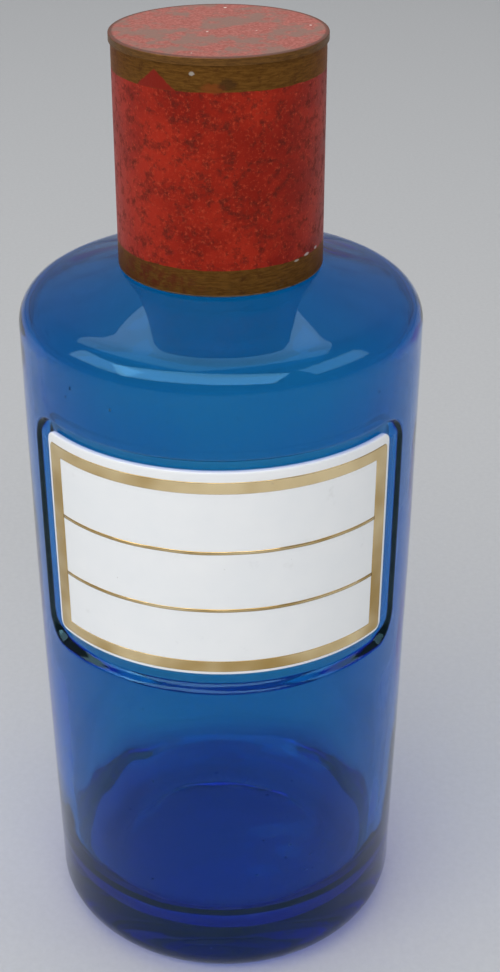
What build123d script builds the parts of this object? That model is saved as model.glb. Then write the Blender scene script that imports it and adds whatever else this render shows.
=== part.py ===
"""Apothecary jar: a tall glass bottle with a label panel, a ground stopper and a slip-over tin cap.

Millimetres, +Z up. The origin is the centre of the resting face and the label faces -Y. The bottle is
one blown solid: its wall is a slightly swelled taper, and the label panel is pressed into the wall, so
that it stands out as a dent on the inside and the glass keeps its thickness. The tin cap stands on the
shoulder and hides the neck and the stopper. Widths round the bottle are measured along its wall.
"""
from build123d import *
from math import degrees, hypot, sqrt
import os

# Bottle, outside
BASE_RADIUS = 57.3  # of the wall, carried down to the floor
SHOULDER_RADIUS = 60.6  # of the wall, at the shoulder corner
WALL_SWELL = 0.7  # how far the wall bows out of its straight taper
SHOULDER_HEIGHT = 223.2  # of the shoulder corner, before it is rounded
SHOULDER_RISE = 12.0  # from the shoulder corner to the root of the neck
SHOULDER_ROUND = 11.0
HEEL_ROUND = 12.0
FOOT_WIDTH = 5.3  # of the flat ring that it rests on, inside the heel's round
PUNT_HEIGHT = 3.5  # of the hollow under the base

# Neck and lip
NECK_RADIUS = 18.5
NECK_ROUND = 12.0  # between the shoulder and the neck
NECK_HEIGHT = 29.0  # from the root of the neck to the top of the lip
LIP_RADIUS = 24.5
LIP_THICKNESS = 7.0
LIP_ROUND = 2.6

# Bottle, inside
GLASS_THICKNESS = 4.5
BASE_THICKNESS = 12.0
INNER_HEEL_ROUND = 12.0
INNER_NECK_ROUND = 6.0
MOUTH_RADIUS = 13.6
MOUTH_BREAK = 0.8  # chamfer at the mouth's edge
GROUND_LENGTH = 21.0  # of the tapered, ground part of the neck, below the lip's top
GROUND_TAPER = 0.05  # fall in radius for each millimetre of depth

# Label panel, pressed into the wall
PANEL_DROP = 27.2  # from the shoulder corner down to the panel
PANEL_HEIGHT = 77.2
PANEL_WIDTH = 132.2
PANEL_DEPTH = 2.4
PANEL_CORNER = 9.0
PANEL_EDGE_ROUND = 1.1

# Label plate, on its bed of cement
PLATE_THICKNESS = 1.6
PLATE_MARGIN_BOTTOM = 5.8  # panel floor left round the plate
PLATE_MARGIN_TOP = 3.2
PLATE_MARGIN_SIDE = 7.1
PLATE_CORNER = 3.0
CEMENT_THICKNESS = 0.4
CEMENT_INSET = 0.8  # how far the cement stays behind the plate's edge
BED_GAP = 0.05  # between faces that are stuck together

# Gilding on the plate
GILDING_THICKNESS = 0.12
GILDING_MARGIN_BOTTOM = 1.1  # white left outside the gold frame
GILDING_MARGIN_TOP = 3.0
GILDING_MARGIN_SIDE = 1.4
GILDING_CORNER = 1.6
FRAME_BAR = 3.8  # height of the frame's upper and lower bars
FRAME_SIDE = 5.2  # width of its side bars
LINE_WIDTH = 1.1
LINE_SHARES = (0.315, 0.66)  # height of each line in the frame's opening

# Stopper
STOPPER_CLEARANCE = 0.3  # between the plug and the ground neck
STOPPER_STANDOFF = 2.0  # from the lip up to the stopper's head
STOPPER_NECK_ROUND = 1.5
STOPPER_HEAD_RADIUS = 21.5
STOPPER_HEAD_HEIGHT = 13.0
STOPPER_HEAD_ROUND = 4.0
STOPPER_PLUG_ROUND = 1.5
STOPPER_CROWN = 1.6  # rise of the head's domed top

# Cap
CAP_RADIUS = 30.2  # of the tin wall, outside
CAP_HEIGHT = 67.5
TIN_THICKNESS = 0.5
CAP_CLEARANCE = 0.3  # between the cap's lower edge and the shoulder
HEM_HEIGHT = 3.5
HEM_ROUND = 0.45  # of the folded edge, under the tin's thickness
FLANGE_HEIGHT = 2.2  # of the top's turned-down edge
SOLDER_GAP = 0.05
TOP_EDGE_ROUND = 0.35
LAP_WIDTH = 6.0  # of the wall's side seam, at the back
LAP_STEP = 0.35

# Worked out from the sizes above
REACH = BASE_RADIUS + SHOULDER_RADIUS  # a radius beyond every surface
FRONT, BACK = -90, 90  # directions, in degrees from +X
PUNT_RADIUS = BASE_RADIUS - HEEL_ROUND - FOOT_WIDTH
SHOULDER_SLOPE = SHOULDER_RISE / (SHOULDER_RADIUS - NECK_RADIUS)
NECK_ROOT = SHOULDER_HEIGHT + SHOULDER_RISE
LIP_TOP = NECK_ROOT + NECK_HEIGHT
GROUND_BOTTOM = LIP_TOP - GROUND_LENGTH
GROUND_RADIUS = MOUTH_RADIUS - GROUND_TAPER * GROUND_LENGTH
PANEL_TOP = SHOULDER_HEIGHT - PANEL_DROP
PANEL_BOTTOM = PANEL_TOP - PANEL_HEIGHT
PLATE_BACK = PANEL_DEPTH - 2 * BED_GAP - CEMENT_THICKNESS  # depths below the wall's outside
PLATE_FRONT = PLATE_BACK - PLATE_THICKNESS
GILDING_BACK = PLATE_FRONT - BED_GAP
HEM_INNER_RADIUS = CAP_RADIUS - 2 * TIN_THICKNESS


def slope_height(radius, inset=0.0):
    """Height at this radius of the shoulder's straight slope, or of a line this far below it."""
    return NECK_ROOT + (NECK_RADIUS - radius) * SHOULDER_SLOPE - inset * hypot(1, SHOULDER_SLOPE)


def shoulder_surface(radius):
    """Height of the bottle's outside at this radius, on the shoulder or on the round up to the neck."""
    steepness = hypot(1, SHOULDER_SLOPE)
    round_radius = NECK_RADIUS + NECK_ROUND
    round_height = NECK_ROOT + NECK_ROUND * (steepness - SHOULDER_SLOPE)
    if radius >= round_radius - NECK_ROUND * SHOULDER_SLOPE / steepness:
        return slope_height(radius)
    return round_height - sqrt(NECK_ROUND**2 - (round_radius - radius) ** 2)


CAP_BOTTOM = shoulder_surface(HEM_INNER_RADIUS) + CAP_CLEARANCE
CAP_TOP = CAP_BOTTOM + CAP_HEIGHT


def half_section(*points):
    """A face on one side of the axis, through these (radius, height) points."""
    return make_face(Polyline(*points, close=True))


def rounded(section, *corners):
    """The section with its corner nearest to each (radius, height) rounded by the size after it."""
    for radius, height, size in corners:
        corner = min(section.vertices(), key=lambda v: hypot(v.X - radius, v.Y - height))
        section = fillet(corner, size)
    return section


def turned(section, sweep=360, middle=0):
    """The section turned about the axis: all round, or through a sweep centred on this direction."""
    return revolve(Rotation(0, 0, middle - sweep / 2) * (Plane.XZ * section), Axis.Z, sweep)


def wall_section(inset):
    """Everything inside the wall's swelled taper, this far below its outer surface."""
    middle = (BASE_RADIUS + SHOULDER_RADIUS) / 2 + WALL_SWELL
    wall = ThreePointArc(
        (BASE_RADIUS - inset, 0),
        (middle - inset, SHOULDER_HEIGHT / 2),
        (SHOULDER_RADIUS - inset, SHOULDER_HEIGHT),
    )
    rest = Polyline(wall @ 1, (SHOULDER_RADIUS - inset, LIP_TOP), (0, LIP_TOP), (0, 0), wall @ 0)
    return make_face([wall, rest])


def body_section(inset, floor):
    """Everything inside the wall and under the shoulder, this far below both, down to a flat floor."""
    return wall_section(inset) & half_section(
        (0, floor),
        (REACH, floor),
        (REACH, slope_height(REACH, inset)),
        (0, slope_height(0, inset)),
    )


def wall_panel(outer, inner, bottom, top, width, corner=0.0):
    """The wall between two depths, within a window at the front whose corners may be rounded."""
    layer = turned(wall_section(outer) - wall_section(inner), 360, FRONT)
    side = half_section((NECK_RADIUS, bottom), (REACH, bottom), (REACH, top), (NECK_RADIUS, top))
    block = turned(side, degrees(width / SHOULDER_RADIUS), FRONT)
    if corner:
        spokes = [e for e in block.edges().filter_by(GeomType.LINE) if abs((e % 0.5).Z) < 0.5]
        block = fillet(spokes, corner)
    return layer & block


def press_panel(body, inset):
    """Presses the label panel into a turned body whose wall lies this far below the bottle's outside."""
    die = wall_panel(
        inset - PANEL_DEPTH,
        inset + PANEL_DEPTH,
        PANEL_BOTTOM - inset,
        PANEL_TOP + inset,
        PANEL_WIDTH + 2 * inset,
        PANEL_CORNER + inset,
    )
    floor = die.faces().sort_by(SortBy.AREA)[-2]  # only the die's outer face is larger
    body = body - fillet(floor.edges(), PANEL_EDGE_ROUND)
    wall = body.faces().sort_by(SortBy.AREA)[-1]
    rim = [edge for wire in wall.inner_wires() for edge in wire.edges()]
    return fillet(rim, PANEL_EDGE_ROUND)


def bottle_outside():
    section = body_section(0, 0) + half_section(
        (0, SHOULDER_HEIGHT),
        (NECK_RADIUS, SHOULDER_HEIGHT),
        (NECK_RADIUS, LIP_TOP - LIP_THICKNESS),
        (LIP_RADIUS, LIP_TOP - LIP_THICKNESS),
        (LIP_RADIUS, LIP_TOP),
        (0, LIP_TOP),
    )
    punt = TangentArc((0, PUNT_HEIGHT), (PUNT_RADIUS, 0), tangent=(1, 0))
    section -= make_face([punt, Polyline(punt @ 1, (0, 0), punt @ 0)])
    return rounded(
        section,
        (BASE_RADIUS, 0, HEEL_ROUND),
        (SHOULDER_RADIUS, SHOULDER_HEIGHT, SHOULDER_ROUND),
        (NECK_RADIUS, NECK_ROOT, NECK_ROUND),
        (NECK_RADIUS, LIP_TOP - LIP_THICKNESS, LIP_ROUND),
        (LIP_RADIUS, LIP_TOP - LIP_THICKNESS, LIP_ROUND),
        (LIP_RADIUS, LIP_TOP, LIP_ROUND),
    )


def bottle_inside():
    wall_radius = SHOULDER_RADIUS - GLASS_THICKNESS
    section = body_section(GLASS_THICKNESS, BASE_THICKNESS) + half_section(
        (0, SHOULDER_HEIGHT - GLASS_THICKNESS),
        (GROUND_RADIUS, SHOULDER_HEIGHT - GLASS_THICKNESS),
        (GROUND_RADIUS, GROUND_BOTTOM),
        (MOUTH_RADIUS, LIP_TOP - MOUTH_BREAK),
        (MOUTH_RADIUS + MOUTH_BREAK, LIP_TOP),
        (0, LIP_TOP),
    )
    return rounded(
        section,
        (BASE_RADIUS - GLASS_THICKNESS, BASE_THICKNESS, INNER_HEEL_ROUND),
        (wall_radius, slope_height(wall_radius, GLASS_THICKNESS), SHOULDER_ROUND - GLASS_THICKNESS),
        (GROUND_RADIUS, slope_height(GROUND_RADIUS, GLASS_THICKNESS), INNER_NECK_ROUND),
    )


def bottle():
    outside = press_panel(turned(bottle_outside()), 0)
    inside = press_panel(turned(bottle_inside()), GLASS_THICKNESS)
    return outside - inside


def plate_layer(outer, inner, margin):
    """The wall between two depths behind the label plate's window, made smaller by this much all round."""
    bottom = PANEL_BOTTOM + PLATE_MARGIN_BOTTOM + margin
    top = PANEL_TOP - PLATE_MARGIN_TOP - margin
    width = PANEL_WIDTH - 2 * (PLATE_MARGIN_SIDE + margin)
    return wall_panel(outer, inner, bottom, top, width, PLATE_CORNER - margin)


def label_cement():
    front = PLATE_BACK + BED_GAP
    return plate_layer(front, front + CEMENT_THICKNESS, CEMENT_INSET)


def label_plate():
    return plate_layer(PLATE_FRONT, PLATE_BACK, 0)


def label_gilding():
    """A gold frame and the lines across it, as one film on the plate: what is left round the panes."""
    bottom = PANEL_BOTTOM + PLATE_MARGIN_BOTTOM + GILDING_MARGIN_BOTTOM
    top = PANEL_TOP - PLATE_MARGIN_TOP - GILDING_MARGIN_TOP
    width = PANEL_WIDTH - 2 * (PLATE_MARGIN_SIDE + GILDING_MARGIN_SIDE)
    film = wall_panel(GILDING_BACK - GILDING_THICKNESS, GILDING_BACK, bottom, top, width, GILDING_CORNER)
    opening_bottom, opening_top = bottom + FRAME_BAR, top - FRAME_BAR
    lines = [opening_bottom + share * (opening_top - opening_bottom) for share in LINE_SHARES]
    pane_bottoms = [opening_bottom, *(line + LINE_WIDTH / 2 for line in lines)]
    pane_tops = [*(line - LINE_WIDTH / 2 for line in lines), opening_top]
    for pane_bottom, pane_top in zip(pane_bottoms, pane_tops):
        film -= wall_panel(0, PLATE_FRONT, pane_bottom, pane_top, width - 2 * FRAME_SIDE)
    return film


def stopper():
    plug_bottom = GROUND_RADIUS - STOPPER_CLEARANCE
    head_bottom = LIP_TOP + STOPPER_STANDOFF
    head_top = head_bottom + STOPPER_HEAD_HEIGHT
    plug_top = plug_bottom + GROUND_TAPER * (head_bottom - GROUND_BOTTOM)
    crown = TangentArc((0, head_top + STOPPER_CROWN), (STOPPER_HEAD_RADIUS, head_top), tangent=(1, 0))
    rest = Polyline(
        crown @ 1,
        (STOPPER_HEAD_RADIUS, head_bottom),
        (plug_top, head_bottom),
        (plug_bottom, GROUND_BOTTOM),
        (0, GROUND_BOTTOM),
        crown @ 0,
    )
    section = make_face([crown, rest])
    return turned(
        rounded(
            section,
            (plug_bottom, GROUND_BOTTOM, STOPPER_PLUG_ROUND),
            (plug_top, head_bottom, STOPPER_NECK_ROUND),
            (STOPPER_HEAD_RADIUS, head_bottom, STOPPER_HEAD_ROUND),
            (STOPPER_HEAD_RADIUS, head_top, STOPPER_HEAD_ROUND),
        )
    )


def cap_wall():
    """The rolled wall, with its lower edge folded in and its side seam lapped at the back."""
    inner_radius = CAP_RADIUS - TIN_THICKNESS
    wall_top = CAP_TOP - TIN_THICKNESS
    fold_top = CAP_BOTTOM + HEM_HEIGHT
    section = half_section(
        (HEM_INNER_RADIUS, CAP_BOTTOM),
        (CAP_RADIUS, CAP_BOTTOM),
        (CAP_RADIUS, wall_top),
        (inner_radius, wall_top),
        (inner_radius, fold_top),
        (HEM_INNER_RADIUS, fold_top),
    )
    fold = min(HEM_ROUND, 0.9 * TIN_THICKNESS)
    section = rounded(section, (HEM_INNER_RADIUS, CAP_BOTTOM, fold), (CAP_RADIUS, CAP_BOTTOM, fold))
    lap_top = CAP_TOP - FLANGE_HEIGHT - CAP_CLEARANCE
    lap_side = half_section(
        (CAP_RADIUS - TIN_THICKNESS / 2, fold_top),
        (CAP_RADIUS + LAP_STEP, fold_top),
        (CAP_RADIUS + LAP_STEP, lap_top),
        (CAP_RADIUS - TIN_THICKNESS / 2, lap_top),
    )
    return turned(section) + turned(lap_side, degrees(LAP_WIDTH / CAP_RADIUS), BACK)


def cap_top():
    """The disc, with its edge turned down over the wall."""
    flange_inside = CAP_RADIUS + SOLDER_GAP
    flange_outside = flange_inside + TIN_THICKNESS
    section = half_section(
        (0, CAP_TOP - TIN_THICKNESS),
        (flange_inside, CAP_TOP - TIN_THICKNESS),
        (flange_inside, CAP_TOP - FLANGE_HEIGHT),
        (flange_outside, CAP_TOP - FLANGE_HEIGHT),
        (flange_outside, CAP_TOP),
        (0, CAP_TOP),
    )
    return turned(rounded(section, (flange_outside, CAP_TOP, TOP_EDGE_ROUND)))


PIECES = (bottle, label_cement, label_plate, label_gilding, stopper, cap_wall, cap_top)

os.makedirs("parts", exist_ok=True)
for piece in PIECES:
    solid = piece()
    export_step(solid, f"parts/{piece.__name__}.step")
    size = solid.bounding_box().size
    print(f"{piece.__name__}: {size.X:.1f} x {size.Y:.1f} x {size.Z:.1f} mm, {solid.volume / 1000:.1f} cm3")
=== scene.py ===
"""Looks of the apothecary jar: blown blue glass, a fired label, a glass stopper and a painted tin cap.

The script works in millimetres, with the sizes of the CAD source, and turns them into metres where a
mesh, the camera or a material is made. Lights are placed in metres. +Z is up, the origin is the centre of
the resting face and the label faces -Y. Places on the wall are (arc, height, depth): the arc is measured
along the wall from the middle of the front, and the depth is how far the place lies below the wall's
outer surface.
"""

from contextlib import contextmanager
from functools import reduce
from math import acos, atan2, ceil, cos, hypot, pi, radians, sin, sqrt, tan
from random import Random

import bmesh
import bpy
from mathutils import Matrix, Vector, noise


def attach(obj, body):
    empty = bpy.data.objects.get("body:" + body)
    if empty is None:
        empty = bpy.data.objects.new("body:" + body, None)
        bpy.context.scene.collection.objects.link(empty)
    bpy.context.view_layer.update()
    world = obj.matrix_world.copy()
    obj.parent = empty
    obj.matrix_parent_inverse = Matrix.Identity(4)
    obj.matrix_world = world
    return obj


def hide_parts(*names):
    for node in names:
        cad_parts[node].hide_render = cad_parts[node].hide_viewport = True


MM = 0.001  # metres in a millimetre

# Bottle, outside
BASE_RADIUS = 57.3
SHOULDER_RADIUS = 60.6
WALL_SWELL = 0.7
SHOULDER_HEIGHT = 223.2
SHOULDER_RISE = 12.0
SHOULDER_ROUND = 11.0
HEEL_ROUND = 12.0
FOOT_WIDTH = 5.3
PUNT_HEIGHT = 3.5
NECK_RADIUS = 18.5
NECK_ROUND = 12.0
NECK_HEIGHT = 29.0
LIP_RADIUS = 24.5
LIP_THICKNESS = 7.0
LIP_ROUND = 2.6

# Bottle, inside
GLASS_THICKNESS = 4.5
BASE_THICKNESS = 12.0
INNER_HEEL_ROUND = 24.0  # the heel's inside as it was blown, softer than a drawing would have it
INNER_NECK_ROUND = 6.0
MOUTH_RADIUS = 13.6
MOUTH_BREAK = 0.8
GROUND_LENGTH = 21.0
GROUND_TAPER = 0.05

# Label panel and label
PANEL_DROP = 27.2
PANEL_HEIGHT = 77.2
PANEL_WIDTH = 132.2
PANEL_DEPTH = 2.4
PANEL_CORNER = 9.0
PLATE_THICKNESS = 1.6
PLATE_MARGIN_BOTTOM = 5.8
PLATE_MARGIN_TOP = 3.2
PLATE_MARGIN_SIDE = 7.1
PLATE_CORNER = 3.0
PLATE_FRONT = 0.3  # depth of the plate's face
PLATE_EDGE_ROUND = 0.45
GILDING_MARGIN_BOTTOM = 1.1
GILDING_MARGIN_TOP = 3.0
GILDING_MARGIN_SIDE = 1.4
GILDING_CORNER = 1.6
GILDING_FRONT = 0.13  # depth of the gold's face
FRAME_BAR = 3.8
FRAME_SIDE = 5.2
FRAME_INNER_CORNER = 0.4
LINE_WIDTH = 1.1
LINE_SHARES = (0.315, 0.66)
LINE_OVERLAP = 0.4  # how far a line runs on into the frame at each end

# Cap
CAP_RADIUS = 30.2
CAP_BOTTOM = 232.45
CAP_TOP = 299.95
LOWER_BAND_TOP = 240.4  # the red paint lies between the two bands
UPPER_BAND_BOTTOM = 290.5

# How the glass filled the mould at the panel's edges
SIDE_SLOPE = 1.6
TOP_SLOPE = 1.8
FOOT_SLOPE = 2.8
SIDE_SHALLOWER = 0.6  # share of the panel's depth that is missing at its sides
SIDE_FADE = 8.0  # how far from a side the full depth is reached
INNER_SLOPE = 30.0  # the inside follows the panel softly, and only in part
INNER_PRESS = 0.5

# Unevenness of the blown glass
SIDE_RADIUS = 45.0  # the wall lies outside this radius
SIDE_BOTTOM = 12.0  # between these heights the wall moves in and out, and elsewhere up and down
SIDE_TOP = SHOULDER_HEIGHT - 4.0
SIDE_BLEND = 8.0
OUTSIDE_SHRINK = 0.10  # keeps the uneven outside within the drawn one
OUTSIDE_WAVES = (0.10, 0.03)  # how far the coarse waves and the fine swirls move the surface
INSIDE_WAVES = (0.45, 0.16)
WAVE_SIZE = 34
SWIRL_SIZE = 15
BUBBLES = 70

# Rings and columns of the bottle's mesh: spacings near the panel's edges, and elsewhere
RING_GRADES = ((4, 0.45), (11, 0.8))
RING_SPACING = 2.6
COLUMN_GRADES = ((5, 0.5), (13, 0.9))
COLUMN_SPACING = 1.9
CURVE_SPACING = 2.8
ARC_STEP = radians(7)
OUTER_WALL_ENDS = (22, 203)  # heights between the heel's and the shoulder's arcs
INNER_WALL_ENDS = (42, 200)

# Marks on the cap's wall: degrees from the front, height, and half sizes across and up
RUBBED_MARK = (-42, 236.5, 13, 3.2)
RUST_MARK = (-1, 291.6, 3.2, 1.3)
STAIN_MARK = (6, 292.6, 2.4, 1.6)
BARE_MARKS = [
    (-12, 295.4, 0.7, 0.5),
    (47, 240.0, 0.9, 0.3),
    (56, 240.6, 1.2, 0.4),
    (66, 240.9, 0.8, 0.4),
]
CHIP_AZIMUTH = radians(-33)
CHIP_POINT = 295.6
CHIP_HALF_WIDTH = 6.4

# Camera, in the photograph's place
CAMERA_DISTANCE = 468.1  # from the jar's axis, along the floor
CAMERA_HEIGHT = 413.0
CAMERA_AZIMUTH = radians(1.8)  # to the right of the label's middle
CAMERA_PITCH = radians(28.8)  # below level
CAMERA_YAW = radians(1.06)  # to the right of the jar's axis
CAMERA_LENS = 62.2

# Lights, in metres and watts: name, place, target, width, height, power and colour
JAR_MIDDLE = (0, 0, 0.17)
FLOOR_BEHIND = (0, 0.3, 0)
DAYLIGHT = (1.0, 0.99, 0.97)
SKYLIGHT = (0.98, 0.98, 0.985)
LIGHTS = [
    ("window_light", (-0.3, -1.35, 1.35), JAR_MIDDLE, 3.2, 1.0, 29, DAYLIGHT),
    ("left_light", (-2.1, -0.7, 1.5), JAR_MIDDLE, 1.8, 1.0, 12, DAYLIGHT),
    ("right_light", (2.0, -0.6, 1.5), JAR_MIDDLE, 1.6, 1.0, 7.5, DAYLIGHT),
    ("sky_light", (-0.2, 0.6, 2.6), FLOOR_BEHIND, 3.0, 3.0, 32, SKYLIGHT),
]
ROOM_COLOUR = (0.64, 0.65, 0.67)
ROOM_STRENGTH = 0.40
LIGHT_BOUNCES = 24  # light that is trapped in the thick glass comes out deep blue with these, and not black

# Glass
GLASS_COLOUR = (0.0, 0.768, 0.968)
GLASS_DENSITY = 560.0
# Grey surface tint: painted shade that dims everything seen through the glass, as a darker view behind it
# would
GLASS_PAINTED_SHADE = (0.78, 0.80, 0.80)
GLASS_REFLECTION = (0.35, 0.8, 1.0)
GLASS_SHADOW = (0.9, 0.93, 0.95)

# Worked out from the sizes above
SHOULDER_SLOPE = SHOULDER_RISE / (SHOULDER_RADIUS - NECK_RADIUS)
NECK_ROOT = SHOULDER_HEIGHT + SHOULDER_RISE
LIP_TOP = NECK_ROOT + NECK_HEIGHT
GROUND_BOTTOM = LIP_TOP - GROUND_LENGTH
GROUND_RADIUS = MOUTH_RADIUS - GROUND_TAPER * GROUND_LENGTH
PUNT_RADIUS = BASE_RADIUS - HEEL_ROUND - FOOT_WIDTH
PANEL_TOP = SHOULDER_HEIGHT - PANEL_DROP
PANEL_BOTTOM = PANEL_TOP - PANEL_HEIGHT
PLATE_BOTTOM = PANEL_BOTTOM + PLATE_MARGIN_BOTTOM
PLATE_TOP = PANEL_TOP - PLATE_MARGIN_TOP
PLATE_WIDTH = PANEL_WIDTH - 2 * PLATE_MARGIN_SIDE
PLATE_BACK = PLATE_FRONT + PLATE_THICKNESS

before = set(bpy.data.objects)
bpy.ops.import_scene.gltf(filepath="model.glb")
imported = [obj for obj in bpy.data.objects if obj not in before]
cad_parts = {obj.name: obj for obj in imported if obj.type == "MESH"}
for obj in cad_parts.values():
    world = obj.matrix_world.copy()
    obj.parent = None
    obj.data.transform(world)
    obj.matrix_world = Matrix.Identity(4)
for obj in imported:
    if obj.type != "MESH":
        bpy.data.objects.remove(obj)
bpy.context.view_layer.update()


# Camera and lights


def look(place, target):
    """The turn that points a light at this place from there."""
    return (Vector(target) - Vector(place)).to_track_quat("-Z", "Y").to_euler()


def add_camera():
    """The photograph's view: from above, a little to the right of the label's middle."""
    camera = bpy.data.cameras.new("camera")
    camera.lens = CAMERA_LENS
    camera.clip_start = 0.01
    ob = bpy.data.objects.new("camera", camera)
    bpy.context.collection.objects.link(ob)
    aside, away = CAMERA_DISTANCE * sin(CAMERA_AZIMUTH), -CAMERA_DISTANCE * cos(CAMERA_AZIMUTH)
    ob.location = Vector((aside, away, CAMERA_HEIGHT)) * MM
    ob.rotation_euler = (pi / 2 - CAMERA_PITCH, 0, CAMERA_AZIMUTH - CAMERA_YAW)
    bpy.context.scene.camera = ob


def add_light(name, place, target, width, height, power, colour):
    """A soft rectangular light. Places and sizes are in metres, and the power is in watts."""
    light = bpy.data.lights.new(name, "AREA")
    light.shape = "RECTANGLE"
    light.size, light.size_y = width, height
    light.energy = power
    light.color = colour
    ob = bpy.data.objects.new(name, light)
    bpy.context.collection.objects.link(ob)
    ob.location = place
    ob.rotation_euler = look(place, target)


def add_studio():
    for light in LIGHTS:
        add_light(*light)
    world = bpy.data.worlds.new("room")
    world.use_nodes = True
    background = world.node_tree.nodes["Background"]
    background.inputs["Color"].default_value = (*ROOM_COLOUR, 1)
    background.inputs["Strength"].default_value = ROOM_STRENGTH
    scene = bpy.context.scene
    scene.world = world
    scene.view_settings.view_transform = "Standard"
    for kind in ("max", "glossy", "transmission"):
        setattr(scene.cycles, f"{kind}_bounces", LIGHT_BOUNCES)


# Materials


class Finish:
    """A node material. A socket is fed with a number, a colour or another node's output."""

    def __init__(self, name):
        self.material = bpy.data.materials.new(name)
        self.material.use_nodes = True
        self.tree = self.material.node_tree
        self.shader = self.tree.nodes["Principled BSDF"]
        self.output = self.tree.nodes["Material Output"]

    def feed(self, socket, value):
        if isinstance(value, bpy.types.NodeSocket):
            self.tree.links.new(value, socket)
        elif socket.type == "RGBA" and len(value) == 3:
            socket.default_value = (*value, 1)
        else:
            socket.default_value = value

    def add(self, kind, inputs=(), output=0, **settings):
        """Adds a node and gives one of its outputs. An input is a socket's name or number, and a value."""
        node = self.tree.nodes.new(kind)
        for name, value in settings.items():
            setattr(node, name, value)
        for key, value in inputs:
            self.feed(node.inputs[key], value)
        return node.outputs[output]

    def set(self, **values):
        """Sets the main shader's sockets: Base_Color=... feeds its Base Color."""
        for name, value in values.items():
            self.feed(self.shader.inputs[name.replace("_", " ")], value)

    def math(self, operation, *values):
        return self.add("ShaderNodeMath", enumerate(values), operation=operation)

    def all_of(self, *masks):
        """Where all of the masks are 1."""
        return reduce(lambda total, mask: self.math("MULTIPLY", total, mask), masks)

    def any_of(self, *masks):
        """Where any of the masks is 1."""
        return reduce(lambda total, mask: self.math("MAXIMUM", total, mask), masks)

    def length(self, across, up):
        """Length of a line that goes this far across and this far up."""
        square = self.math("ADD", self.math("MULTIPLY", across, across), self.math("MULTIPLY", up, up))
        return self.math("SQRT", square)

    def place(self):
        """The point's place on the object, in millimetres."""
        point = self.add("ShaderNodeTexCoord", output="Object")
        return self.add("ShaderNodeVectorMath", [(0, point), ("Scale", 1 / MM)], operation="SCALE")

    def axes(self, vector):
        parts = self.add("ShaderNodeSeparateXYZ", [(0, vector)]).node.outputs
        return parts[0], parts[1], parts[2]

    def step(self, value, low, high):
        """0 below low and 1 above high, with a smooth rise between. Falls instead if low is above high."""
        return self.add(
            "ShaderNodeMapRange",
            [(0, value), (1, low), (2, high), (3, 0.0), (4, 1.0)],
            interpolation_type="SMOOTHSTEP",
        )

    def mix(self, share, first, second):
        """The two colours mixed: all of the second where the share is 1."""
        return self.add(
            "ShaderNodeMix",
            [(0, share), (6, self.colour(first)), (7, self.colour(second))],
            output=2,
            data_type="RGBA",
        )

    def cover(self, base, over, mask, share):
        """The base colour with another laid over it by this share where the mask is 1."""
        return self.mix(self.math("MULTIPLY", mask, share), base, over)

    def colour(self, value):
        return value if isinstance(value, bpy.types.NodeSocket) else (*value, 1)

    def blend(self, share, first, second):
        """The two numbers mixed: all of the second where the share is 1."""
        return self.add("ShaderNodeMix", [(0, share), (2, first), (3, second)], data_type="FLOAT")

    def stretch(self, vector, factors):
        return self.add("ShaderNodeVectorMath", [(0, vector), (1, factors)], operation="MULTIPLY")

    def grain(self, vector, size, detail=3.0, rough=0.6, seed=0.0):
        """Smooth noise from 0 to 1 whose patches are about this many millimetres across."""
        inputs = {"Vector": vector, "W": seed, "Scale": 1 / size, "Detail": detail, "Roughness": rough}
        return self.add("ShaderNodeTexNoise", inputs.items(), noise_dimensions="4D")

    def swing(self, grain, span):
        """Noise that swings about 0 over this span."""
        return self.math("MULTIPLY", self.math("SUBTRACT", grain, 0.5), span)

    def bump(self, height, distance):
        """A normal from a height between 0 and 1 that stands for this many millimetres."""
        inputs = [("Strength", 1.0), ("Distance", distance * MM), ("Height", height)]
        return self.add("ShaderNodeBump", inputs)


def glass_finish(name, roughness):
    """Cobalt-blue glass: clear surfaces, with the colour in the depth of the material."""
    finish = Finish(name)
    ripple = finish.grain(finish.place(), 22, 1.0, 0.5)
    # The grey Base Color is painted shade: it dims all light that passes through the glass
    finish.set(
        Base_Color=GLASS_PAINTED_SHADE,
        Roughness=roughness,
        IOR=1.52,
        Specular_Tint=GLASS_REFLECTION,
        Transmission_Weight=1.0,
        Normal=finish.bump(ripple, 0.22),
    )
    depth = finish.add("ShaderNodeVolumeAbsorption", [("Color", GLASS_COLOUR), ("Density", GLASS_DENSITY)])
    finish.tree.links.new(depth, finish.output.inputs["Volume"])
    # Lights shine through the glass, tinted by its depth, as shadow rays meet a clear surface
    clear = finish.add("ShaderNodeBsdfTransparent", [("Color", GLASS_SHADOW)])
    shadow_ray = finish.add("ShaderNodeLightPath", output="Is Shadow Ray")
    shown = finish.add("ShaderNodeMixShader", [(0, shadow_ray), (1, finish.shader.outputs[0]), (2, clear)])
    finish.tree.links.new(shown, finish.output.inputs["Surface"])
    return finish.material


def enamel_finish():
    """White glaze, a little uneven, with a few dark specks and faint grey wear."""
    finish = Finish("white_enamel")
    place = finish.place()
    cloud = finish.grain(place, 14, 2.0)
    specks = finish.step(finish.grain(place, 1.1, 1.0, seed=4.0), 0.79, 0.83)
    wear = finish.step(finish.grain(place, 5, 4.0, seed=9.0), 0.62, 0.78)
    white = finish.mix(cloud, (0.76, 0.79, 0.82), (0.84, 0.85, 0.86))
    white = finish.cover(white, (0.55, 0.56, 0.56), wear, 0.25)
    finish.set(
        Base_Color=finish.cover(white, (0.22, 0.20, 0.18), specks, 0.6),
        Roughness=finish.blend(cloud, 0.10, 0.2),
        Normal=finish.bump(finish.grain(place, 9, 2.0, seed=2.0), 0.12),
    )
    return finish.material


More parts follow.
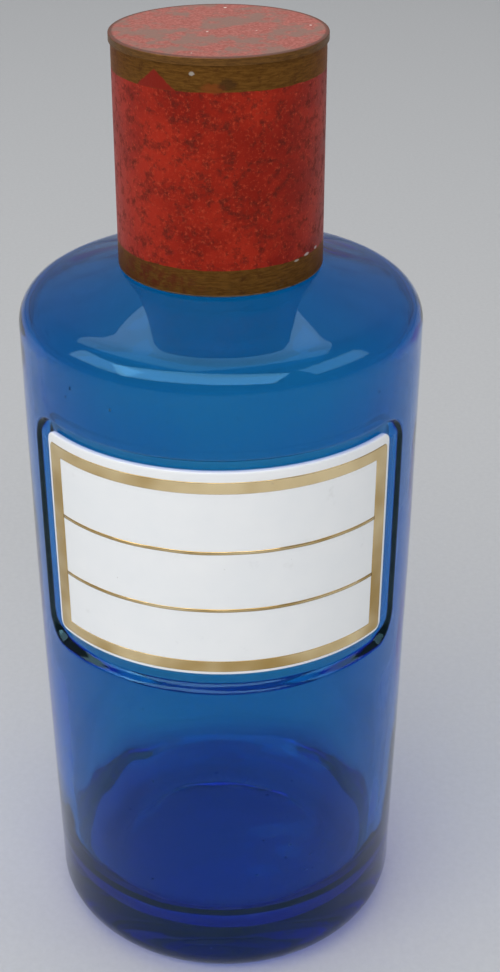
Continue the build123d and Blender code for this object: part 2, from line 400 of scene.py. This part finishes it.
def gold_finish():
    """Burnished leaf, uneven in tone with dark and bright patches of painted reflection, and rubbed thin
    here and there.
    """
    finish = Finish("gilding")
    place = finish.place()
    cloud = finish.grain(place, 24, 2.0)
    rub = finish.step(finish.grain(place, 2.2, 4.0, seed=3.0), 0.66, 0.78)
    # The dark and bright patches are painted reflection of darker and lighter surroundings, laid into the
    # colour
    gold = finish.mix(finish.step(cloud, 0.3, 0.7), (0.50, 0.33, 0.11), (0.90, 0.72, 0.42))
    finish.set(
        Base_Color=finish.cover(gold, (0.78, 0.74, 0.66), rub, 0.7),
        Metallic=finish.blend(rub, 1.0, 0.4),
        Roughness=finish.blend(cloud, 0.08, 0.2),
        Normal=finish.bump(finish.grain(place, 15, 2.0, seed=5.0), 0.9),
    )
    return finish.material


def cement_finish():
    finish = Finish("label_cement")
    grit = finish.grain(finish.place(), 0.8, 4.0)
    finish.set(
        Base_Color=finish.mix(grit, (0.42, 0.40, 0.35), (0.58, 0.56, 0.50)),
        Roughness=0.9,
        Normal=finish.bump(grit, 0.1),
    )
    return finish.material


def spot(finish, azimuth, height, mark, ragged, softness=0.35):
    """A ragged patch on the cap's wall. A mark gives its azimuth in degrees, height and half sizes."""
    degrees, middle, half_width, half_height = mark
    aside = finish.math("SUBTRACT", azimuth, radians(degrees))
    across = finish.math("MULTIPLY", aside, CAP_RADIUS / half_width)
    up = finish.math("DIVIDE", finish.math("SUBTRACT", height, middle), half_height)
    reach = finish.math("ADD", finish.length(across, up), ragged)
    return finish.step(reach, 1.0 + softness, 1.0 - softness)


def chip_mask(finish, azimuth, height, ragged):
    """A three-cornered chip in the upper band, down to the red: wide at its foot and pointed above."""
    arc = finish.math("MULTIPLY", finish.math("SUBTRACT", azimuth, CHIP_AZIMUTH), CAP_RADIUS)
    below = finish.math("SUBTRACT", CHIP_POINT, height)
    share = finish.math("DIVIDE", below, CHIP_POINT - UPPER_BAND_BOTTOM)
    half_width = finish.math("MULTIPLY", share, CHIP_HALF_WIDTH)
    reach = finish.math("SUBTRACT", half_width, finish.math("ABSOLUTE", arc))
    inside = finish.step(finish.math("ADD", reach, ragged), -0.4, 0.5)
    return finish.all_of(inside, finish.step(height, UPPER_BAND_BOTTOM - 0.3, UPPER_BAND_BOTTOM + 0.1))


def red_paint(finish, place, fine, medium, dark):
    """Red paint with lighter grains, dark stains and pits."""
    broad = finish.grain(place, 13, 3.0, 0.6, seed=5.0)
    red = finish.mix(finish.step(broad, 0.35, 0.68), (0.20, 0.009, 0.004), (0.32, 0.018, 0.007))
    light = finish.all_of(finish.step(fine, 0.50, 0.72), finish.step(medium, 0.35, 0.6))
    red = finish.mix(light, red, (0.56, 0.07, 0.03))
    red = finish.cover(red, (0.085, 0.010, 0.006), dark, 0.8)
    pits = finish.step(finish.grain(place, 1.0, 2.0, 0.5, 12.0), 0.66, 0.74)
    return finish.cover(red, (0.035, 0.010, 0.008), pits, 0.5)


def dull_gold(finish, place):
    """The bands' paint, streaked round the cap."""
    streaks = finish.grain(finish.stretch(place, (0.3, 0.3, 1.8)), 1.0, 3.0, 0.7, 3.0)
    return finish.mix(finish.step(streaks, 0.3, 0.7), (0.095, 0.040, 0.007), (0.175, 0.078, 0.014))


def paint_finish():
    """The cap's wall: red paint between two dull gold bands, stained and worn."""
    finish = Finish("cap_paint")
    place = finish.place()
    x, y, height = finish.axes(place)
    azimuth = finish.math("ARCTAN2", x, finish.math("MULTIPLY", y, -1.0))
    fine = finish.grain(place, 0.9, 3.0, 0.7)
    medium = finish.grain(place, 2.6, 5.0, 0.7, seed=2.0)
    dark = finish.step(medium, 0.46, 0.66)
    ragged = finish.swing(finish.grain(place, 1.6, 3.0, 0.7, 8.0), 1.6)

    def marked(mark, softness=0.35):
        return spot(finish, azimuth, height, mark, ragged, softness)

    edge_height = finish.math("ADD", height, finish.swing(finish.grain(place, 7, 3.0), 0.9))
    upper = finish.step(edge_height, UPPER_BAND_BOTTOM - 0.15, UPPER_BAND_BOTTOM + 0.15)
    lower = finish.step(edge_height, LOWER_BAND_TOP + 0.15, LOWER_BAND_TOP - 0.15)
    band = finish.any_of(upper, lower)
    gold = finish.cover(
        dull_gold(finish, place), (0.05, 0.016, 0.006), finish.step(medium, 0.52, 0.72), 0.6
    )
    rubbed = finish.all_of(marked(RUBBED_MARK, 0.8), finish.step(medium, 0.42, 0.55))
    gold = finish.cover(gold, (0.13, 0.022, 0.010), rubbed, 0.8)
    colour = finish.mix(band, red_paint(finish, place, fine, medium, dark), gold)

    chip = chip_mask(finish, azimuth, height, ragged)
    colour = finish.mix(chip, colour, (0.19, 0.012, 0.006))
    colour = finish.cover(colour, (0.23, 0.055, 0.012), marked(RUST_MARK), 0.7)
    colour = finish.cover(colour, (0.045, 0.022, 0.010), marked(STAIN_MARK), 0.6)
    bare = finish.any_of(*[marked(mark) for mark in BARE_MARKS])
    colour = finish.cover(colour, (0.55, 0.52, 0.46), bare, 0.6)
    edge = finish.step(height, CAP_BOTTOM + 0.75, CAP_BOTTOM + 0.3)
    worn_edge = finish.all_of(edge, finish.step(medium, 0.35, 0.5))
    colour = finish.cover(colour, (0.34, 0.26, 0.17), worn_edge, 0.6)

    shine = finish.math("SUBTRACT", 0.55, finish.math("MULTIPLY", chip, 0.5))
    lumps = finish.math("ADD", finish.math("MULTIPLY", medium, 0.6), finish.math("MULTIPLY", fine, 0.4))
    finish.set(
        Base_Color=colour,
        Roughness=finish.blend(band, finish.blend(dark, 0.42, 0.6), 0.40),
        Metallic=finish.math("MULTIPLY", band, shine),
        Specular_IOR_Level=0.22,
        Specular_Tint=(1.0, 0.5, 0.4),
        Normal=finish.bump(lumps, 0.16),
    )
    return finish.material


def top_finish():
    """The cap's top: faded, scraped red on the disc, and dull gold on its turned-down edge."""
    finish = Finish("cap_top_paint")
    place = finish.place()
    x, y, height = finish.axes(place)
    fine = finish.grain(place, 0.9, 3.0, 0.7)
    medium = finish.grain(place, 3.6, 4.0, 0.65, seed=2.0)
    broad = finish.grain(place, 15, 3.0, 0.6, seed=15.0)
    faded = finish.mix(finish.step(fine, 0.35, 0.7), (0.30, 0.075, 0.058), (0.47, 0.165, 0.135))
    worn = finish.step(finish.blend(0.45, broad, medium), 0.47, 0.56)
    faded = finish.cover(faded, (0.24, 0.15, 0.12), worn, 0.85)
    specks = finish.step(finish.grain(place, 1.9, 0.5, 0.5, 21.0), 0.76, 0.80)
    faded = finish.mix(specks, faded, (0.78, 0.74, 0.70))
    rim = finish.step(finish.length(x, y), CAP_RADIUS - 1.0, CAP_RADIUS - 0.2)
    faded = finish.cover(faded, (0.10, 0.045, 0.03), rim, 0.8)
    side = finish.step(height, CAP_TOP - 0.12, CAP_TOP - 0.3)
    finish.set(
        Base_Color=finish.mix(side, faded, dull_gold(finish, place)),
        Roughness=finish.blend(side, 0.6, 0.42),
        Specular_IOR_Level=0.3,
        Metallic=finish.math("MULTIPLY", side, 0.5),
        Normal=finish.bump(finish.blend(0.5, fine, medium), 0.12),
    )
    return finish.material


# Mesh tools


def add_piece(name, points, faces, *materials, kinds=None):
    """A smooth mesh from points in millimetres. kinds gives each face's material number."""
    mesh = bpy.data.meshes.new(name)
    mesh.from_pydata([Vector(p) * MM for p in points], [], faces)
    for material in materials:
        mesh.materials.append(material)
    if kinds:
        mesh.polygons.foreach_set("material_index", kinds)
    mesh.shade_smooth()
    mesh.update()
    ob = bpy.data.objects.new(name, mesh)
    bpy.context.collection.objects.link(ob)
    return ob


@contextmanager
def editing(ob):
    """Gives the piece's mesh to work on, and writes it back afterwards."""
    work = bmesh.new()
    work.from_mesh(ob.data)
    yield work
    work.to_mesh(ob.data)
    work.free()


def strips(first, rings, around):
    """Faces between rings of points that are numbered from the first on, with this many round each ring."""
    faces = []
    for ring in range(rings - 1):
        start = first + ring * around
        for step in range(around):
            a, b = start + step, start + (step + 1) % around
            faces.append((a, b, b + around, a + around))
    return faces


def wall_radius(height):
    """Radius of the wall's outer surface: a taper that bows out a little."""
    share = height / SHOULDER_HEIGHT
    straight = BASE_RADIUS + (SHOULDER_RADIUS - BASE_RADIUS) * share
    return straight + WALL_SWELL * 4 * share * (1 - share)


def on_wall(arc, height, depth):
    angle = arc / SHOULDER_RADIUS
    radius = wall_radius(height) - depth
    return Vector((radius * sin(angle), -radius * cos(angle), height))


def rounded_line(corners):
    """Points along a line through (radius, height, round) corners, with an arc at each rounded one."""
    points = []
    for before, corner, after in zip(corners, corners[1:], corners[2:]):
        here, round_radius = Vector(corner[:2]), corner[2]
        if not round_radius:
            points.append(here)
            continue
        back = (Vector(before[:2]) - here).normalized()
        ahead = (Vector(after[:2]) - here).normalized()
        half = acos(max(-1, min(1, back.dot(ahead)))) / 2
        centre = here + (back + ahead).normalized() * round_radius / sin(half)
        first = here + back * round_radius / tan(half) - centre
        last = here + ahead * round_radius / tan(half) - centre
        sweep = first.angle_signed(last)
        steps = max(3, ceil(abs(sweep) / ARC_STEP))
        for i in range(steps + 1):
            points.append(centre + Matrix.Rotation(-sweep * i / steps, 2) @ first)
    return [Vector(corners[0][:2]), *points, Vector(corners[-1][:2])]


def walk(start, end, pitch):
    """Places from start up to end, pitch(place) apart. The last step is at most half as long again."""
    places = [start]
    while end - places[-1] > pitch(places[-1]) * 1.5:
        places.append(places[-1] + pitch(places[-1]))
    return [*places, end]


def spacing(near, grades, otherwise):
    """The spacing this near to the panel's edge. A grade is a distance, and the spacing within it."""
    return next((pitch for distance, pitch in grades if near < distance), otherwise)


def subdivided(points, pitch):
    """The same line with no step longer than the pitch."""
    line = [points[0]]
    for start, end in zip(points, points[1:]):
        steps = max(1, ceil((end - start).length / pitch))
        line += [start.lerp(end, i / steps) for i in range(1, steps + 1)]
    return line


def clamped(x):
    return max(0.0, min(1.0, x))


def smooth_step(x):
    x = clamped(x)
    return x * x * (3 - 2 * x)


# Bottle


def pressed(arc, height, grow, soft):
    """How far the panel presses this place in, from 0 to 1. Its foot slopes more gently than its top, and
    its sides are shallower. grow makes it larger all round, and soft is the least width of its slopes."""
    half_width, half_height = PANEL_WIDTH / 2 + grow, PANEL_HEIGHT / 2 + grow
    corner = PANEL_CORNER + grow
    up = height - (PANEL_TOP + PANEL_BOTTOM) / 2
    across, above = abs(arc) - half_width + corner, abs(up) - half_height + corner
    reach = hypot(max(across, 0), max(above, 0)) + min(max(across, above), 0) - corner
    sideways = smooth_step((across - above) / corner + 0.5)
    slope = sideways * SIDE_SLOPE + (1 - sideways) * (TOP_SLOPE if up > 0 else FOOT_SLOPE)
    shallower = SIDE_SHALLOWER * sideways * clamped((reach + SIDE_FADE) / SIDE_FADE)
    return smooth_step(0.5 - reach / max(slope, soft)) * (1 - shallower)


def wall_line(inset, ends):
    """Points up the wall at this depth, closest together where the panel's foot and top are."""

    def pitch(height):
        near = min(abs(height - PANEL_BOTTOM), abs(height - PANEL_TOP))
        return spacing(near, RING_GRADES, RING_SPACING)

    return [Vector((wall_radius(height) - inset, height)) for height in walk(*ends, pitch)]


def under_slope(radius):
    """Height of the inside of the shoulder's slope at this radius."""
    outside = NECK_ROOT + (NECK_RADIUS - radius) * SHOULDER_SLOPE
    return outside - GLASS_THICKNESS * hypot(1, SHOULDER_SLOPE)


def bottle_profile():
    """The bottle's section as (radius, height) points in three lines: its outside from the middle of the
    foot to the mouth, the ground bore, and its inside from there to the middle of the floor."""
    punt_steps = 12
    shares = [i / punt_steps for i in range(punt_steps)]
    punt = [Vector((PUNT_RADIUS * share, PUNT_HEIGHT * (1 - share**2))) for share in shares]
    outer_low, *_, outer_high = outer_wall = wall_line(0, OUTER_WALL_ENDS)
    heel = [(PUNT_RADIUS, 0, 0), (PUNT_RADIUS + 1, 0, 0), (BASE_RADIUS, 0, HEEL_ROUND), (*outer_low, 0)]
    shoulder = [
        (*outer_high, 0),
        (SHOULDER_RADIUS, SHOULDER_HEIGHT, SHOULDER_ROUND),
        (NECK_RADIUS, NECK_ROOT, NECK_ROUND),
        (NECK_RADIUS, LIP_TOP - LIP_THICKNESS, LIP_ROUND),
        (LIP_RADIUS, LIP_TOP - LIP_THICKNESS, LIP_ROUND),
        (LIP_RADIUS, LIP_TOP, LIP_ROUND),
        (MOUTH_RADIUS + MOUTH_BREAK, LIP_TOP, 0),
    ]
    outside = punt + rounded_line(heel)[:-1] + outer_wall + rounded_line(shoulder)[1:]

    inner_low, *_, inner_high = inner_wall = wall_line(GLASS_THICKNESS, INNER_WALL_ENDS)
    wall_corner = SHOULDER_RADIUS - GLASS_THICKNESS
    roof = [
        (MOUTH_RADIUS, LIP_TOP - MOUTH_BREAK, 0),
        (GROUND_RADIUS, GROUND_BOTTOM, 0),
        (GROUND_RADIUS, under_slope(GROUND_RADIUS), INNER_NECK_ROUND),
        (wall_corner, under_slope(wall_corner), SHOULDER_ROUND - GLASS_THICKNESS),
        (*inner_high, 0),
    ]
    floor = [
        (*inner_low, 0),
        (wall_radius(BASE_THICKNESS) - GLASS_THICKNESS, BASE_THICKNESS, INNER_HEEL_ROUND),
        (0, BASE_THICKNESS, 0),
    ]
    mouth, bore_end, *under_shoulder = rounded_line(roof)[:-1]
    inside = [bore_end, *under_shoulder, *inner_wall[::-1], *rounded_line(floor)[1:]]
    return (
        subdivided(outside, CURVE_SPACING),
        subdivided([mouth, bore_end], CURVE_SPACING),
        subdivided(inside, CURVE_SPACING)[1:],
    )


def column_angles():
    """Directions round the bottle from the front, in radians: closest together at the panel's sides."""

    def pitch(angle):
        near = abs(angle * SHOULDER_RADIUS - PANEL_WIDTH / 2)
        return spacing(near, COLUMN_GRADES, COLUMN_SPACING) / SHOULDER_RADIUS

    half = walk(0.0, pi, pitch)
    return [-angle for angle in half[:0:-1]] + half[:-1]


def blown(point, outer):
    """The point on the bottle's surface, moved as hand-made glass is uneven: most of all on the inside."""
    x, y, height = point
    radius, angle = hypot(x, y), atan2(x, -y)
    press = 0.0
    if radius > SIDE_RADIUS and SIDE_BOTTOM < height < SIDE_TOP:
        grow, soft = (0, 0) if outer else (GLASS_THICKNESS, INNER_SLOPE)
        press = pressed(angle * SHOULDER_RADIUS, height, grow, soft)
    coarse = noise.noise(Vector((x, y, height * 0.7)) / WAVE_SIZE + Vector((3, 7, outer)))
    swirl = noise.noise(Vector((x * 1.6, y * 1.6, height * 0.35)) / SWIRL_SIZE + Vector((9, 2, 5)))
    if outer:
        waves, swirls = OUTSIDE_WAVES
        fade = (1 - press) * smooth_step((height - 2) / 12) * smooth_step((LIP_TOP - 1 - height) / 20)
        shift = (-OUTSIDE_SHRINK + waves * coarse + swirls * swirl) * fade
    else:
        waves, swirls = INSIDE_WAVES
        shift = (waves * coarse + swirls * swirl) * smooth_step((GROUND_BOTTOM - 4 - height) / 14)
    if radius < SIDE_RADIUS:
        return Vector((x, y, height + shift))
    radial = smooth_step((height - SIDE_BOTTOM) / SIDE_BLEND)
    radial *= smooth_step((SIDE_TOP - height) / SIDE_BLEND)
    depth = PANEL_DEPTH * (1 if outer else INNER_PRESS)
    scale = (radius + radial * shift - depth * press) / radius
    return Vector((x * scale, y * scale, height + (1 - radial) * shift))


def seed_bubble(rng):
    """A bubble in the wall or the foot, as (middle, radii), drawn out along the wall."""
    size = 0.14 + 0.30 * rng.random() ** 2
    angle = rng.uniform(-pi, pi)
    if rng.random() < 0.35:
        radius, height = 46 * sqrt(rng.random()), rng.uniform(5.6, BASE_THICKNESS - 2.6)
        radii = (size * 1.6, size * 1.6, size)
    else:
        below_panel = rng.random() < 0.7
        height = rng.uniform(20, PANEL_BOTTOM - 8) if below_panel else rng.uniform(PANEL_TOP + 6, 212)
        radius = wall_radius(height) - GLASS_THICKNESS * rng.uniform(0.35, 0.65)
        radii = (size, size, size * rng.uniform(1.1, 2.2))
    return Vector((radius * sin(angle), -radius * cos(angle), height)), radii


def add_bubbles(points, faces, count):
    """Adds closed, hollow bubbles whose faces look inward, out of the glass."""
    rng = Random(11)
    around, rings = 8, 6
    for _ in range(count):
        middle, radii = seed_bubble(rng)
        first = len(points)
        for ring in range(rings):
            tilt = pi * ring / (rings - 1)
            for step in range(around):
                turn = 2 * pi * step / around
                unit = (sin(tilt) * cos(turn), sin(tilt) * sin(turn), cos(tilt))
                points.append(middle + Vector(a * b for a, b in zip(unit, radii)))
        faces += strips(first, rings, around)


def make_bottle(glass, ground_glass):
    outside, ground, inside = bottle_profile()
    line = outside + ground + inside
    angles = column_angles()
    points = [
        blown(Vector((radius * sin(angle), -radius * cos(angle), height)), row < len(outside))
        for row, (radius, height) in enumerate(line)
        for angle in angles
    ]
    faces = strips(0, len(line), len(angles))
    ground_rows = range(len(outside), len(outside) + len(ground) - 1)
    kinds = [int(row in ground_rows) for row in range(len(line) - 1) for _ in angles]
    add_bubbles(points, faces, BUBBLES)
    kinds += [0] * (len(faces) - len(kinds))
    ob = add_piece("bottle_glass", points, faces, glass, ground_glass, kinds=kinds)
    # The points of a ring meet at the foot's middle, the floor's middle and the bubbles' ends
    with editing(ob) as work:
        bmesh.ops.remove_doubles(work, verts=work.verts, dist=0.0005 * MM)
    return ob


# Label


CORNER_STEPS, SIDE_STEPS, END_STEPS = 6, 64, 34


def outline(bottom, top, width, corner):
    """A closed (arc, height) line round a rounded rectangle, always with the same number of points."""
    corner = max(corner, 0.001)
    half = width / 2
    centres = [
        (half - corner, bottom + corner, -90),
        (half - corner, top - corner, 0),
        (-half + corner, top - corner, 90),
        (-half + corner, bottom + corner, 180),
    ]
    points = []
    for i, (arc, height, start) in enumerate(centres):
        turn = [radians(start + 90 * k / CORNER_STEPS) for k in range(CORNER_STEPS + 1)]
        points += [Vector((arc + corner * cos(t), height + corner * sin(t))) for t in turn]
        after = centres[(i + 1) % 4]
        t = radians(after[2])
        goal = Vector((after[0] + corner * cos(t), after[1] + corner * sin(t)))
        steps = END_STEPS if i % 2 == 0 else SIDE_STEPS
        here = points[-1]
        points += [here.lerp(goal, k / steps) for k in range(1, steps)]
    return points


def lofted(name, rings, material, closed=False):
    """A smooth skin through (outline, depth) rings on the wall. If closed, the last ring joins the first."""
    count = len(rings[0][0])
    points = [on_wall(p.x, p.y, depth) for ring, depth in rings for p in ring]
    faces = strips(0, len(rings), count)
    if closed:
        last = (len(rings) - 1) * count
        faces += [(last + i, last + (i + 1) % count, (i + 1) % count, i) for i in range(count)]
    return add_piece(name, points, faces, material)


def inset_outline(amount):
    """The plate's outline, this much smaller all round."""
    return outline(
        PLATE_BOTTOM + amount, PLATE_TOP - amount, PLATE_WIDTH - 2 * amount, PLATE_CORNER - amount
    )


def fill_grid(work, bottom, top, width, depth):
    """Adds a curved grid that fills a rectangle on the wall, and meets an outline's points."""
    columns, rows = SIDE_STEPS, END_STEPS
    grid = []
    for j in range(rows + 1):
        for i in range(columns + 1):
            arc = -width / 2 + width * i / columns
            height = bottom + (top - bottom) * j / rows
            grid.append(work.verts.new(on_wall(arc, height, depth) * MM))
    for j in range(rows):
        for i in range(columns):
            a = j * (columns + 1) + i
            work.faces.new((grid[a], grid[a + 1], grid[a + columns + 2], grid[a + columns + 1]))


def make_plate(material):
    """The label plate, with a rounded edge."""
    wall_end, face_start, edge_steps = PLATE_BACK - 0.4, 1.4, 5
    rings = [(inset_outline(PLATE_CORNER), PLATE_BACK)]
    rings += [(inset_outline(0), depth) for depth in (PLATE_BACK, wall_end)]
    for k in range(edge_steps + 1):
        tilt = radians(90 * k / edge_steps)
        inset = PLATE_EDGE_ROUND * (1 - cos(tilt))
        rings.append((inset_outline(inset), PLATE_FRONT + PLATE_EDGE_ROUND * (1 - sin(tilt))))
    rings += [(inset_outline(inset), PLATE_FRONT) for inset in (face_start, PLATE_CORNER)]
    ob = lofted("label_enamel", rings, material)
    low, high = PLATE_BOTTOM + PLATE_CORNER, PLATE_TOP - PLATE_CORNER
    join = 0.002 * MM
    with editing(ob) as work:
        for depth in (PLATE_FRONT, PLATE_BACK):
            fill_grid(work, low, high, PLATE_WIDTH - 2 * PLATE_CORNER, depth)
        bmesh.ops.remove_doubles(work, verts=work.verts, dist=join)
        bmesh.ops.dissolve_degenerate(work, edges=work.edges, dist=join / 4)
        bmesh.ops.recalc_face_normals(work, faces=work.faces)
    ob.data.shade_smooth()
    return ob


def make_gilding(material):
    """The gold frame and the two lines across it, one film with softened edges."""
    bottom, top = PLATE_BOTTOM + GILDING_MARGIN_BOTTOM, PLATE_TOP - GILDING_MARGIN_TOP
    width = PLATE_WIDTH - 2 * GILDING_MARGIN_SIDE
    low, high = bottom + FRAME_BAR, top - FRAME_BAR
    inner = outline(low, high, width - 2 * FRAME_SIDE, FRAME_INNER_CORNER)
    outer = outline(bottom, top, width, GILDING_CORNER)

    def between(share):
        return [a.lerp(b, share) for a, b in zip(inner, outer)]

    under, edge = PLATE_FRONT - 0.02, GILDING_FRONT + 0.03
    section = [(0, under), (0.03, edge)]
    section += [(share, GILDING_FRONT) for share in (0.1, 0.35, 0.65, 0.9)]
    section += [(0.97, edge), (1, under)]
    rings = [(between(share), depth) for share, depth in section]
    ob = lofted("label_gold", rings, material, closed=True)
    with editing(ob) as work:
        for share in LINE_SHARES:
            middle = low + share * (high - low)
            add_line(work, middle, width - 2 * (FRAME_SIDE - LINE_OVERLAP), under, edge)
    ob.data.shade_smooth()
    return ob


def add_line(work, middle, width, under, edge):
    """A thin gold line across the label, as a closed strip that wavers as a brushed line does."""
    half = LINE_WIDTH / 2
    section = [(-half, under), (-half * 0.9, edge), (half * 0.9, edge), (half, under)]
    steps = 72
    rows = []
    for i in range(steps + 1):
        arc = -width / 2 + width * i / steps
        height = middle + 0.12 * noise.noise(Vector((arc / 11, middle, 0)))
        rows.append([work.verts.new(on_wall(arc, height + up, depth) * MM) for up, depth in section])
    for row, after in zip(rows, rows[1:]):
        for i in range(4):
            j = (i + 1) % 4
            work.faces.new((row[i], after[i], after[j], row[j]))
    work.faces.new(rows[0])
    work.faces.new(rows[-1][::-1])


# The object and its stage


def add_floor():
    finish = Finish("studio_floor")
    mottle = finish.grain(finish.place(), 2.5, 4.0, 0.7)
    finish.set(
        Base_Color=finish.mix(mottle, (0.46, 0.47, 0.485), (0.56, 0.57, 0.58)),
        Roughness=0.8,
    )
    reach, level = 6000, -0.02
    square = [(-1, -1), (1, -1), (1, 1), (-1, 1)]
    corners = [(reach * x, reach * y, level) for x, y in square]
    floor = add_piece("floor", corners, [(0, 1, 2, 3)], finish.material)


def dress(node, material):
    """Gives a CAD node its finish."""
    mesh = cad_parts[node].data
    mesh.materials.clear()
    mesh.materials.append(material)


add_camera()
add_studio()
add_floor()

glass = glass_finish("blue_glass", 0.0)
ground_glass = glass_finish("ground_glass", 0.5)
bottle = make_bottle(glass, ground_glass)
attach(bottle, "bottle")
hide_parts("bottle")

plate = make_plate(enamel_finish())
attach(plate, "bottle")
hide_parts("label_plate")

gilding = make_gilding(gold_finish())
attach(gilding, "bottle")
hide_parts("label_gilding")

dress("label_cement", cement_finish())
dress("stopper", glass)
dress("cap_wall", paint_finish())
dress("cap_top", top_finish())
